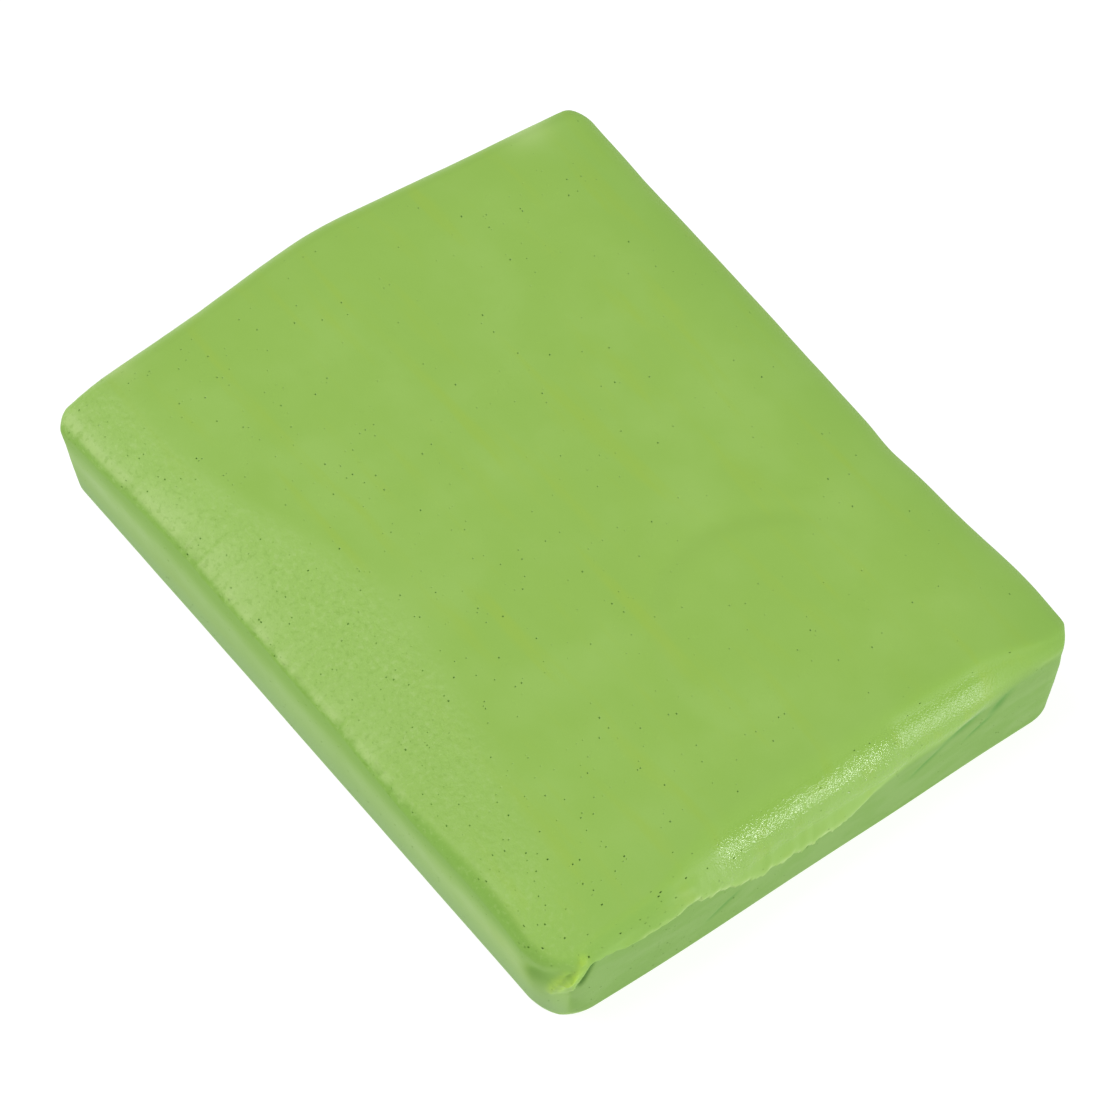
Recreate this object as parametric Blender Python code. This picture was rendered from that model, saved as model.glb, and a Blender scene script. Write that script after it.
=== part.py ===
"""A detailing clay bar: one slab of kneadable polishing clay, cut from an extruded strip.

Metres, +Z up. The origin is the middle of the underside. +X runs along the bar, towards the end
that was cut last, and +Y runs across it, towards the long side that stands at full height.
"""

import math

import bmesh
import bpy
from mathutils import Vector

# Driving dimensions: the straight block that is then pressed out of true. The finished bar is
# about 82 mm long and 65 mm wide, because its far end bulges and its walls lean outwards.
LENGTH = 0.0785
WIDTH = 0.0624
THICKNESS = 0.0145

# Rounding of the edges, before the slab is pressed out of true.
CORNER_RADIUS = 0.0034
RIM_RADIUS = 0.0030
FOOT_RADIUS = 0.0010
CORNER_STEPS = 5
RIM_STEPS = 4
FOOT_STEPS = 2

# The -X end bulges outwards as a shallow gable with a rounded ridge.
BOW_HEIGHT = 0.0022
BOW_SLOPE = 0.104
BOW_ROUND = 0.0029
BOW_RIDGE_Y = 0.0003

# The top falls towards the -Y side: by how much in the middle, and how that changes along X.
FALL_WIDTH = 0.010
FALL_MIDDLE = 0.0022
FALL_TILT = 0.025

# The top also sinks a little towards the +Y side and the two ends.
EDGE_WIDTH = 0.008
EDGE_SINK = 0.0005

# The walls lean outwards, so that the top rim overhangs the foot. The -Y wall leans most, and
# more still towards the -X end. There the foot of the -X end stands out instead.
LEFT_LEAN = 0.0011
LEFT_LEAN_FAR = 0.0013
RIGHT_LEAN = 0.0005
NEAR_LEAN = 0.0008
FAR_LEAN = 0.0008
FAR_FOOT_LEFT = 0.0013

# The +Y side is pressed in: two straight runs that meet at a blunt jog.
PINCH_X = 0.0117
PINCH_DEPTH = 0.0006
PINCH_REACH = 0.042
PINCH_ROUND = 0.0012

# Spacing of the cuts that let the slab bend.
GRID_STEP = 0.008
MID_HEIGHT = 0.0065

# Points closer together than this, or to the plane of the underside, count as one.
TINY = 0.000001

CLAY_GREEN = (0.29, 0.51, 0.10, 1.0)
CLAY_ROUGHNESS = 0.55


def clear_scene():
    for old in list(bpy.data.objects):
        bpy.data.objects.remove(old, do_unlink=True)


def new_collection(name):
    collection = bpy.data.collections.new(name)
    bpy.context.scene.collection.children.link(collection)
    return collection


def clay_material():
    material = bpy.data.materials.new("clay")
    material.use_nodes = True
    shader = material.node_tree.nodes["Principled BSDF"]
    shader.inputs["Base Color"].default_value = CLAY_GREEN
    shader.inputs["Roughness"].default_value = CLAY_ROUGHNESS
    shader.inputs["Metallic"].default_value = 0.0
    return material


def smooth_step(value):
    """0 below 0, 1 above 1, and a smooth ramp between them."""
    held = min(max(value, 0.0), 1.0)
    return held * held * (3.0 - 2.0 * held)


def soft_distance(offset, rounding):
    """The distance from 0, with its corner at 0 rounded off."""
    return math.hypot(offset, rounding) - rounding


def edges_along(mesh, test):
    """The edges whose two ends both pass the test."""
    return [edge for edge in mesh.edges if all(test(vert.co) for vert in edge.verts)]


def round_edges(mesh, edges, radius, steps):
    bmesh.ops.bevel(
        mesh,
        geom=edges,
        offset=radius,
        offset_type="OFFSET",
        segments=steps,
        profile=0.5,
        affect="EDGES",
        clamp_overlap=False,
    )


def rounded_block():
    """The straight block: upright corners rounded first, then the top rim and the foot."""
    mesh = bmesh.new()
    bmesh.ops.create_cube(mesh, size=1.0)
    bmesh.ops.scale(mesh, vec=(LENGTH, WIDTH, THICKNESS), verts=mesh.verts)
    bmesh.ops.translate(mesh, vec=(0.0, 0.0, THICKNESS / 2), verts=mesh.verts)
    uprights = [
        edge for edge in mesh.edges if abs(edge.verts[0].co.z - edge.verts[1].co.z) > THICKNESS / 2
    ]
    round_edges(mesh, uprights, CORNER_RADIUS, CORNER_STEPS)
    rim = edges_along(mesh, lambda co: co.z > THICKNESS - TINY)
    round_edges(mesh, rim, RIM_RADIUS, RIM_STEPS)
    foot = edges_along(mesh, lambda co: co.z < TINY)
    round_edges(mesh, foot, FOOT_RADIUS, FOOT_STEPS)
    return mesh


def slice_at(mesh, point, normal):
    everything = mesh.verts[:] + mesh.edges[:] + mesh.faces[:]
    bmesh.ops.bisect_plane(mesh, geom=everything, plane_co=point, plane_no=normal, dist=TINY)


def slice_block(mesh):
    """Cuts the block into a grid, so that its faces can follow the pressed shape."""
    for axis, extent in ((0, LENGTH), (1, WIDTH)):
        normal = Vector((0.0, 0.0, 0.0))
        normal[axis] = 1.0
        count = int(extent / 2 / GRID_STEP)
        for index in range(-count, count + 1):
            slice_at(mesh, normal * (index * GRID_STEP), normal)
    slice_at(mesh, Vector((0.0, 0.0, MID_HEIGHT)), Vector((0.0, 0.0, 1.0)))


def bow(y):
    """How far the -X end stands out at this place across the bar."""
    return BOW_HEIGHT - BOW_SLOPE * soft_distance(y - BOW_RIDGE_Y, BOW_ROUND)


def pinch(x):
    """How far the +Y side is pressed in at this place along the bar."""
    return PINCH_DEPTH * (1.0 - soft_distance(x - PINCH_X, PINCH_ROUND) / PINCH_REACH)


def fall(x, y):
    """How far the top lies below full thickness at this place."""
    side_fall = FALL_MIDDLE - FALL_TILT * x
    towards_side = smooth_step(1.0 - (y + WIDTH / 2) / FALL_WIDTH)
    edge_gaps = (WIDTH / 2 - y, LENGTH / 2 - x, LENGTH / 2 + x)
    sink = sum(EDGE_SINK * smooth_step(1.0 - gap / EDGE_WIDTH) for gap in edge_gaps)
    return side_fall * towards_side + sink


def pressed(point):
    """Where a point of the straight block lies in the finished bar."""
    x, y, z = point
    height = z / THICKNESS
    far_pull = smooth_step(-2.0 * x / LENGTH)
    near_pull = smooth_step(2.0 * x / LENGTH)
    left_pull = smooth_step(-2.0 * y / WIDTH)
    right_pull = smooth_step(2.0 * y / WIDTH)
    left_lean = LEFT_LEAN + LEFT_LEAN_FAR * far_pull
    far_out = bow(y) + FAR_LEAN * height + FAR_FOOT_LEFT * (1.0 - height) * left_pull
    new_x = x - far_out * far_pull + NEAR_LEAN * height * near_pull
    new_y = y - left_lean * height * left_pull + (RIGHT_LEAN * height - pinch(x)) * right_pull
    new_z = z - fall(x, y) * height
    return Vector((new_x, new_y, new_z))


def centre_on_origin(mesh):
    """Moves the bar so that the middle of its box, seen from above, is the origin."""
    middles = []
    for axis in (0, 1):
        values = [vert.co[axis] for vert in mesh.verts]
        middles.append((min(values) + max(values)) / 2)
    bmesh.ops.translate(mesh, vec=(-middles[0], -middles[1], 0.0), verts=mesh.verts)


def merge_underside(mesh):
    """Makes the flat underside one face."""
    under = [face for face in mesh.faces if all(vert.co.z < TINY for vert in face.verts)]
    bmesh.ops.dissolve_faces(mesh, faces=under, use_verts=True)


def make_clay_bar(collection):
    mesh = rounded_block()
    slice_block(mesh)
    for vert in mesh.verts:
        vert.co = pressed(vert.co)
    centre_on_origin(mesh)
    merge_underside(mesh)
    bmesh.ops.recalc_face_normals(mesh, faces=mesh.faces)
    data = bpy.data.meshes.new("clay_bar")
    mesh.to_mesh(data)
    mesh.free()
    data.shade_smooth()
    data.materials.append(clay_material())
    collection.objects.link(bpy.data.objects.new("clay_bar", data))


def main():
    clear_scene()
    make_clay_bar(new_collection("detailing_clay_bar"))


main()
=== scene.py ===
"""A bar of soft green detailing clay, lying on a plain white floor.

The bar is one mesh. It starts as a fine grid on the surface of a straight block that fills the
frame's box. Short functions then round its edges, press it out of true, and add its fine detail:
the lapped lip on the near cut end, the crest along the left side, the fold at the near corner, and
the pinholes.

The shape is worked out in millimetres, in the frame's own axes: +X towards the near cut end, +Y
towards the right side, +Z up.
"""

import itertools
import math

import bmesh
import bpy
import numpy as np
from mathutils import Matrix, Vector


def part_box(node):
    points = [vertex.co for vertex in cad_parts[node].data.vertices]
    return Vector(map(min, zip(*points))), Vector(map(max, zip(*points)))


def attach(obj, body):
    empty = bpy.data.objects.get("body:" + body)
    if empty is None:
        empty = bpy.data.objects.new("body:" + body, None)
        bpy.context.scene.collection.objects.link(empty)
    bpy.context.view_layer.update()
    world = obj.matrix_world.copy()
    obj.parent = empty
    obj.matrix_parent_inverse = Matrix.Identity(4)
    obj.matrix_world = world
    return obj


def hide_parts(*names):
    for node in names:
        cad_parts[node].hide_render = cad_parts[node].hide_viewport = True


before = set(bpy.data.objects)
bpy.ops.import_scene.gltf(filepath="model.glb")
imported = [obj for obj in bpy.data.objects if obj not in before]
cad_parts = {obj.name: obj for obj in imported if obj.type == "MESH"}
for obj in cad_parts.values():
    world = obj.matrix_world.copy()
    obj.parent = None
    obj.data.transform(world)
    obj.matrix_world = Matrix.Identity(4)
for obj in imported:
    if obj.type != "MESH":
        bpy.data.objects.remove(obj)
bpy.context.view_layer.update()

MM = 0.001
NODE = "clay_bar"
LOW, HIGH = (np.array(corner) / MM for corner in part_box(NODE))
THICKNESS = HIGH[2]

# The curves below are built from bell curves and smooth ramps. A name that ends in HUMP holds a
# curve's (middle, reach), and one that ends in RAMP holds a ramp's (start, end). HUMPS and RAMPS
# are tables of several, with the height of each in front.

# The far end bulges as a shallow gable: its height, its ridge, and the slope on each side.
BOW_HEIGHT = 2.2
BOW_RIDGE = 1.25
BOW_ROUND = 2.9
BOW_SLOPE_LEFT = 0.110
BOW_SLOPE_RIGHT = 0.099

# The left wall leans outwards towards the top. It leans more at its far corner and along its near
# half, and it wanders a little on the way.
LEFT_LEAN = 1.15
LEFT_LEAN_FAR = 1.3
LEFT_LEAN_FAR_RAMP = (17.0, 34.0)
LEFT_LEAN_NEAR = 1.1
LEFT_LEAN_NEAR_RAMP = (6.0, 24.0)
LEFT_LEAN_END_RAMP = (35.0, 40.0)
CREST_WANDER = 0.12
CREST_WANDER_SIZE = 9.0

# The other walls lean less. Next to the left side the far end leans the other way, so that the
# upright corner stands straight.
RIGHT_LEAN = 0.5
NEAR_LEAN = 0.8
FAR_LEAN = 0.8
FAR_LEAN_LEFT = -0.5
FAR_LEAN_RAMP = (-32.0, -8.0)

# The foot of the near end stands out a little on its left half, and is set in on its right half.
NEAR_FOOT_OUT = 0.30
NEAR_FOOT_OUT_HUMP = (-17.0, 14.0)
NEAR_FOOT_IN = 0.22
NEAR_FOOT_IN_RAMP = (8.0, 24.0)

# How close to a side its leaning and pressing begin, as a share of the way from the middle.
LEFT_PULL_RAMP = (0.4, 1.0)
RIGHT_PULL_RAMP = (0.2, 1.0)

# The right side is pressed in: two straight runs that meet at a blunt jog, which is pressed deeper.
# The side swells before the near corner, and is pressed in again at the far one.
PINCH_PLACE = 11.3
PINCH_DEPTH = 0.56
PINCH_REACH = 42.0
PINCH_ROUND = 1.2
JOG_DEPTH = 0.3
JOG_HUMP = (PINCH_PLACE + 1.4, 3.0)
RIGHT_BULGE = 0.5
RIGHT_BULGE_HUMP = (31.0, 6.5)
FAR_PINCH = 0.25
FAR_PINCH_RAMP = (29.0, 38.0)

# Where the top starts to fall towards the left side. The slope is widest in the middle.
SLOPE_START = -27.5
SLOPE_HUMPS = ((6.5, -1.0, 15.0), (3.4, 21.0, 14.0))
SLOPE_LEAD = 3.0

# How far the top falls towards the left side, along the bar, and how steeply its curve sets in.
FALL_FAR = 1.8
FALL_MIDDLE = 3.0
FALL_MIDDLE_RAMP = (-30.0, -10.0)
FALL_NEAR = 0.9
FALL_NEAR_RAMP = (8.0, 28.0)
FALL_POWER = 1.7

# How far the near corner droops, and over what length and width.
CORNER_DROOP = 1.7
CORNER_DROOP_LENGTH = 11.0
CORNER_DROOP_RAMP = (12.0, 29.0)

# The top rounds off slightly towards the other three sides, as (fall, width), but not at the far
# right corner, which stands full.
RIGHT_FALL = (0.9, 10.0)
FAR_FALL = (0.5, 6.0)
NEAR_FALL = (0.5, 8.0)
STANDING_X_RAMP = (26.0, 38.0)
STANDING_Y_RAMP = (18.0, 30.0)

# The round, shallow print in the top: its middle, then the rings as (height, radius, reach). It
# fades out towards the near right corner, along a line that slants by the tilt.
PRINT_MIDDLE = (24.2, 9.4)
PRINT_RINGS = ((-0.13, 13.6, 1.4), (0.06, 11.6, 1.6))
PRINT_FADE_FROM = 24.0
PRINT_FADE_TILT = 0.4
PRINT_FADE_RAMP = (-14.0, 8.0)

# The straight block's four sides, set in from the frame's box by what the bulge and leans add.
FAR = LOW[0] + 2.8
NEAR = HIGH[0] - 0.65
LEFT = LOW[1] + 2.15
RIGHT = HIGH[1] - 0.03

# Grid spacing: fine along the edges, coarser in the middle of the faces.
FINE_STEP = 0.25
COARSE_STEP = 0.345
FINE_BAND = 4.5
HEIGHT_STEP = 0.29

# Plan radius of the four upright corners at the foot and at the top, by the signs of x and y.
CORNER_RADII = {(1, 1): (4.0, 3.6), (1, -1): (4.6, 3.0), (-1, 1): (1.8, 1.6), (-1, -1): (3.0, 1.6)}
FOOT_RADIUS = 0.9

# Radius of the top rim on each side, and how far apart the sides blend. The near rim is tight at
# both of its ends. The left rim is tight in the middle and looser towards the near end.
FAR_RIM = 2.2
RIGHT_RIM = 3.2
NEAR_RIM = 4.4
NEAR_RIM_ENDS = 1.6
NEAR_RIM_OPENS_RAMP = (-20.0, -9.0)
NEAR_RIM_CLOSES_RAMP = (20.0, 30.0)
LEFT_RIM = 1.3
LEFT_RIM_HUMPS = ((-0.5, -2.0, 20.0),)
LEFT_RIM_RAMPS = ((0.7, 12.0, 30.0),)
RIM_BLEND = 1.5
LEAST_WEIGHT = 1e-9

# Anything lower than this lies in the plane of the underside.
FLAT = 0.001

# The fine detail fades in over this height above the underside.
DETAIL_RAMP = (0.0, 1.5)

RANDOM_SEED = 7

# Pinholes: how many, how high on the sides they start, and the range of radius, depth and painted
# shade in the crater. Most are small, because an even random number is raised to a power.
PINHOLES = 1300
PINHOLE_FLOOR = 1.0
PINHOLE_RADIUS = (0.05, 0.15)
PINHOLE_DEPTH = (0.04, 0.22)
PINHOLE_SHADE = (0.3, 1.0)
PINHOLE_SIZES = (0.1, 1.0)
PINHOLE_POWER = 2.2

# The first width of a crater's wall, as a share of the least radius, and the width of its floor, as
# a share of its rim.
WALL_SHARE = 0.25
FLOOR_SHARE = 0.6

# How much closer together the pinholes lie towards the left side and on the near face, and how
# patchy they are.
CROWDED_LEFT = 2.0
CROWDED_LEFT_RAMP = (0.0, 25.0)
CROWDED_NEAR = 1.5
CROWDED_NEAR_RAMP = (NEAR, NEAR + 0.8)
CROWDED_PATCHES = 0.8
CROWDED_PATCH_SIZE = 9.0
LEAST_CROWDING = 0.1

# The noise is built on random directions. Three primes pick one for each corner of each cell of
# space, and the gain brings the result to about -1 to 1.
GRADIENT_COUNT = 4093
GRADIENTS = np.random.default_rng(RANDOM_SEED).normal(size=(GRADIENT_COUNT, 3))
GRADIENTS /= np.linalg.norm(GRADIENTS, axis=1)[:, None]
HASH_PRIMES = np.array([7919, 104729, 1299709])
NOISE_GAIN = 1.6
ROW_SPACING = 37.1

# The rows of noise that the wandering lines follow.
LIP_COARSE_ROW = 1
LIP_FINE_ROW = 2
FAR_EDGE_ROW = 2
CREST_ROW = 4
RIDGE_ROW = 5

# ---------------------------------------------------------------------------------------------
# Small helpers
# ---------------------------------------------------------------------------------------------


def smooth_step(value, start=0.0, end=1.0):
    """0 before start, 1 after end, and a smooth ramp between them."""
    held = np.clip((value - start) / (end - start), 0.0, 1.0)
    return held * held * (3.0 - 2.0 * held)


def hump(value, middle, reach):
    """A bell curve of height 1, about reach wide on each side of its middle."""
    return np.exp(-(((value - middle) / reach) ** 2))


def ramps(value, table):
    """The sum of several smooth ramps, each given as (height, start, end)."""
    return sum(height * smooth_step(value, start, end) for height, start, end in table)


def humps(value, table):
    """The sum of several bell curves, each given as (height, middle, reach)."""
    return sum(height * hump(value, middle, reach) for height, middle, reach in table)


def ball(points, middle, radii):
    """A bell curve in space: 1 at the middle of an ellipsoid, and falling off outwards."""
    return np.exp(-(((points - middle) / radii) ** 2).sum(axis=1))


def mix(low, high, share):
    return low + (high - low) * share


def smooth_noise(points):
    """Gradient noise of about -1 to 1 at each point, with lumps one unit across."""
    cell = np.floor(points).astype(int)
    inside = points - cell
    fade = inside**3 * (inside * (inside * 6.0 - 15.0) + 10.0)
    total = np.zeros(len(points))
    for corner in itertools.product((0, 1), repeat=3):
        step = np.array(corner)
        key = ((cell + step) * HASH_PRIMES).sum(axis=1) % len(GRADIENTS)
        weight = np.where(step == 1, fade, 1.0 - fade).prod(axis=1)
        total += weight * (GRADIENTS[key] * (inside - step)).sum(axis=1)
    return total * NOISE_GAIN


def wobble(points, size, octaves=2, stretch=(1.0, 1.0, 1.0)):
    """Fractal noise of about -1 to 1 whose lumps are about size millimetres across."""
    scaled = points / (np.array(stretch) * size)
    layers = [smooth_noise(scaled * 2.0**level) / 2.0**level for level in range(octaves)]
    return sum(layers)


def wobble_along(values, size, row, octaves=2):
    """The same noise along a line. Each row number gives a different line."""
    row_place = np.full_like(values, row * ROW_SPACING)
    return wobble(np.stack([values, row_place, np.zeros_like(values)], axis=1), size, octaves)


def patches(noise, base, gain):
    """Noise turned into patches: its middle moved to base, steepened, and held between 0 and 1."""
    return np.clip(base + gain * noise, 0.0, 1.0)


def segment_distance(points, start, end):
    """(distance to the segment, share of the way along it) for each point."""
    start = np.array(start, float)
    along = np.array(end, float) - start
    share = np.clip((points - start) @ along / (along @ along), 0.0, 1.0)
    return np.linalg.norm(points - start - share[:, None] * along, axis=1), share


# ---------------------------------------------------------------------------------------------
# The straight block and its rounded edges
# ---------------------------------------------------------------------------------------------


def grid_lines(low, high):
    """Positions from low to high, fine in the bands at both ends."""
    fine = int(round(FINE_BAND / FINE_STEP))
    middle = int(round((high - low - 2 * FINE_BAND) / COARSE_STEP))
    return np.concatenate(
        [
            np.linspace(low, low + FINE_BAND, fine, endpoint=False),
            np.linspace(low + FINE_BAND, high - FINE_BAND, middle, endpoint=False),
            np.linspace(high - FINE_BAND, high, fine + 1),
        ]
    )


def block_surface():
    """(points, quads) of a closed grid on the six faces of the straight block."""
    lines = [
        grid_lines(FAR, NEAR),
        grid_lines(LEFT, RIGHT),
        np.linspace(0.0, THICKNESS, int(round(THICKNESS / HEIGHT_STEP)) + 1),
    ]
    counts = [len(line) for line in lines]
    index = np.indices(counts)
    last = np.array(counts).reshape(3, 1, 1, 1) - 1
    outer = ((index == 0) | (index == last)).any(axis=0)
    number = np.full(counts, -1)
    number[outer] = np.arange(outer.sum())
    points = np.stack([lines[axis][index[axis][outer]] for axis in range(3)], axis=1)
    quads = []
    for axis in range(3):
        for at_end in (False, True):
            sheet = np.take(number, counts[axis] - 1 if at_end else 0, axis=axis)
            ring = [sheet[:-1, :-1], sheet[1:, :-1], sheet[1:, 1:], sheet[:-1, 1:]]
            if at_end == (axis == 1):
                ring.reverse()
            quads.append(np.stack(ring, axis=-1).reshape(-1, 4))
    return points, np.concatenate(quads)


def rim_radius(points):
    """Radius of the top rim at each point, blended between the four sides."""
    x, y = points[:, 0], points[:, 1]
    open_rim = smooth_step(y, *NEAR_RIM_OPENS_RAMP) * (1.0 - smooth_step(y, *NEAR_RIM_CLOSES_RAMP))
    near = mix(NEAR_RIM_ENDS, NEAR_RIM, open_rim)
    left = LEFT_RIM + humps(x, LEFT_RIM_HUMPS) + ramps(x, LEFT_RIM_RAMPS)
    radii = [np.full_like(x, FAR_RIM), near, left, np.full_like(x, RIGHT_RIM)]
    gaps = [x - FAR, NEAR - x, y - LEFT, RIGHT - y]
    weights = [np.exp(-gap / RIM_BLEND) + LEAST_WEIGHT for gap in gaps]
    return sum(r * w for r, w in zip(radii, weights)) / sum(weights)


def round_edges(points):
    """Bends the block's sharp edges into arcs: a cube-to-ball map in a band along each edge."""
    x, y, z = points.T
    top = rim_radius(points)
    flat = mix(FOOT_RADIUS, top, smooth_step(z / THICKNESS))
    u = np.clip((x - NEAR) / flat + 1, 0, 1) - np.clip((FAR - x) / flat + 1, 0, 1)
    v = np.clip((y - RIGHT) / flat + 1, 0, 1) - np.clip((LEFT - y) / flat + 1, 0, 1)
    up = np.clip((z - THICKNESS) / top + 1, 0, 1)
    down = np.clip(1 - z / FOOT_RADIUS, 0, 1)
    w = up - down

    def pulled(a, b, c):
        return a * np.sqrt(1 - b * b / 2 - c * c / 2 + b * b * c * c / 3)

    height = np.where(w > 0, top, FOOT_RADIUS)
    return np.stack(
        [
            x + (pulled(u, v, w) - u) * flat,
            y + (pulled(v, w, u) - v) * flat,
            z + (pulled(w, u, v) - w) * height,
        ],
        axis=1,
    )


def round_corners(points):
    """Rounds the four upright corners in plan, each with its own radius at its foot and top."""
    done = points.copy()
    for (side_x, side_y), (foot, top) in CORNER_RADII.items():
        radius = mix(foot, top, np.clip(points[:, 2] / THICKNESS, 0.0, 1.0))
        reach_x = (NEAR if side_x > 0 else -FAR) - radius
        reach_y = (RIGHT if side_y > 0 else -LEFT) - radius
        u = np.clip((side_x * points[:, 0] - reach_x) / radius, 0, None)
        v = np.clip((side_y * points[:, 1] - reach_y) / radius, 0, None)
        done[:, 0] += side_x * radius * u * (np.sqrt(1 - v * v / 2) - 1)
        done[:, 1] += side_y * radius * v * (np.sqrt(1 - u * u / 2) - 1)
    return done


# ---------------------------------------------------------------------------------------------
# Pressing the block out of true
# ---------------------------------------------------------------------------------------------


def bow(y):
    """How far the far end stands out: a shallow gable, steeper on its left slope."""
    offset = y - BOW_RIDGE
    slope = np.where(offset < 0, BOW_SLOPE_LEFT, BOW_SLOPE_RIGHT)
    return BOW_HEIGHT - slope * (np.hypot(offset, BOW_ROUND) - BOW_ROUND)


def pinch(x):
    """How far the right side is pressed in: two runs, with the jog, the bulge and the far corner."""
    distance = np.hypot(x - PINCH_PLACE, PINCH_ROUND) - PINCH_ROUND
    runs = PINCH_DEPTH * (1.0 - distance / PINCH_REACH)
    jog = JOG_DEPTH * hump(x, *JOG_HUMP) - RIGHT_BULGE * hump(x, *RIGHT_BULGE_HUMP)
    return runs + jog + FAR_PINCH * smooth_step(-x, *FAR_PINCH_RAMP)


def left_slope_start(x):
    """Where the top starts to fall towards the left side."""
    return SLOPE_START + humps(x, SLOPE_HUMPS)


def left_fall(x):
    """How far the top has fallen where it meets the left side."""
    towards_middle = mix(FALL_FAR, FALL_MIDDLE, smooth_step(x, *FALL_MIDDLE_RAMP))
    return mix(towards_middle, FALL_NEAR, smooth_step(x, *FALL_NEAR_RAMP))


def corner_droop(x, y):
    """How far the near corner droops."""
    lengthways = smooth_step(x, NEAR - CORNER_DROOP_LENGTH, NEAR)
    return CORNER_DROOP * lengthways * smooth_step(-y, *CORNER_DROOP_RAMP)


def rounding_off(gap, fall, width):
    """How far the top falls at a gap from a side, if it falls over a width along that side."""
    return fall * np.clip((width - gap) / width, 0, None) ** 2


def top_fall(x, y):
    """How far the top lies below full thickness."""
    start = left_slope_start(x) + SLOPE_LEAD
    left = left_fall(x) * np.clip((start - y) / (start - LEFT), 0, None) ** FALL_POWER
    standing = smooth_step(-x, *STANDING_X_RAMP) * smooth_step(y, *STANDING_Y_RAMP)
    right = rounding_off(RIGHT - y, *RIGHT_FALL) * (1.0 - standing)
    far = rounding_off(x - FAR, *FAR_FALL) * (1.0 - standing)
    near = rounding_off(NEAR - x, *NEAR_FALL)
    return left + corner_droop(x, y) + right + far + near


def dent_rings(x, y):
    """How high the round print stands in the top."""
    distance = np.hypot(x - PRINT_MIDDLE[0], y - PRINT_MIDDLE[1])
    shown = smooth_step(PRINT_FADE_FROM - x - PRINT_FADE_TILT * y, *PRINT_FADE_RAMP)
    return humps(distance, PRINT_RINGS) * shown


def crest_line(x):
    """How far the left side overhangs its foot."""
    far = LEFT_LEAN_FAR * smooth_step(-x, *LEFT_LEAN_FAR_RAMP)
    near = smooth_step(x, *LEFT_LEAN_NEAR_RAMP) * (1.0 - smooth_step(x, *LEFT_LEAN_END_RAMP))
    wander = CREST_WANDER * wobble_along(x, CREST_WANDER_SIZE, CREST_ROW)
    return LEFT_LEAN + far + LEFT_LEAN_NEAR * near + wander


def press(points):
    """Where each point of the rounded block lies in the finished bar, before its fine detail."""
    x, y, z = points.T
    height = z / THICKNESS
    far_pull = smooth_step(-2.0 * x / (NEAR - FAR))
    near_pull = smooth_step(2.0 * x / (NEAR - FAR))
    left_pull = smooth_step(-2.0 * y / (RIGHT - LEFT), *LEFT_PULL_RAMP)
    right_pull = smooth_step(2.0 * y / (RIGHT - LEFT), *RIGHT_PULL_RAMP)
    right_out = RIGHT_LEAN * height - pinch(x)
    far_lean = mix(FAR_LEAN_LEFT, FAR_LEAN, smooth_step(y, *FAR_LEAN_RAMP))
    far_out = bow(y) + FAR_LEAN - far_lean * (1.0 - height)
    foot_out = NEAR_FOOT_OUT * hump(y, *NEAR_FOOT_OUT_HUMP)
    foot_out -= NEAR_FOOT_IN * smooth_step(y, *NEAR_FOOT_IN_RAMP)
    near_out = NEAR_LEAN * height + foot_out * (1.0 - height)
    new_x = x - far_out * far_pull + near_out * near_pull
    new_y = y - crest_line(x) * height * left_pull + right_out * right_pull
    new_z = z - (top_fall(x, y) - dent_rings(x, y)) * height
    return np.stack([new_x, new_y, new_z], axis=1)


# ---------------------------------------------------------------------------------------------
# Fine detail. Each function gives how far the points move along given directions, and fills in
# marks for the material where it needs them. A mark is a number from 0 to 1 at each point.
# ---------------------------------------------------------------------------------------------

# Some marks carry painted light and shade. Band is painted shade below the left crest, on the
# rounded edges and in the corner hollow. Foot is painted bounce light from the floor. Strip is
# painted light and sheen as well as grain. Pit is painted shade in the pinholes. Smear also holds a
# painted shadow in the pocket under the lip, and pale also holds painted glints at the far corners.
MARKS = ("cut", "smear", "band", "foot", "strip", "grain", "pale", "fresh", "pit_shade")

# How squarely the surface has to face an end or a side to count as part of it.
FACING_END_RAMP = (0.72, 0.90)
FACING_SIDE_RAMP = (0.35, 0.80)


def along(amount, direction):
    return amount[:, None] * np.array(direction)


# The lower edge of the skin that laps over the near cut face: its height at the left and further
# on, where it rises towards the right, its scallops, and how far it drops at the folded corner.
LIP_LEFT = 10.2
LIP_MIDDLE = 7.2
LIP_MIDDLE_RAMP = (-15.0, -6.0)
LIP_RISE_RAMPS = ((2.4, 3.0, 12.0), (2.6, 16.0, 27.0))
LIP_SCALLOP_HUMPS = ((0.6, -15.5, 1.4), (-0.9, -22.6, 2.0))
LIP_CORNER_DROP = 5.0
LIP_CORNER_RAMP = (27.4, 29.4)

# The edge is torn on its left half and soft on its right half. How ragged the tear is, as (height,
# size, row, octaves), and where it calms down towards the corner.
LIP_SOFT_RAMP = (2.0, 9.0)
LIP_TEARS = ((0.40, 2.6, LIP_COARSE_ROW, 2), (0.60, 1.3, LIP_FINE_ROW, 3))
LIP_CALM = 0.6
LIP_CALM_RAMP = (19.0, 22.0)

# How sharp the edge is and how far it stands out, where it is torn and where it is soft. It thins
# towards the corner.
LIP_BLUR = (0.10, 1.1)
LIP_STEP = (0.75, 0.18)
LIP_REACH = 2.2
LIP_THINNING = 0.6
LIP_THIN_RAMP = (19.0, 24.0)

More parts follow.
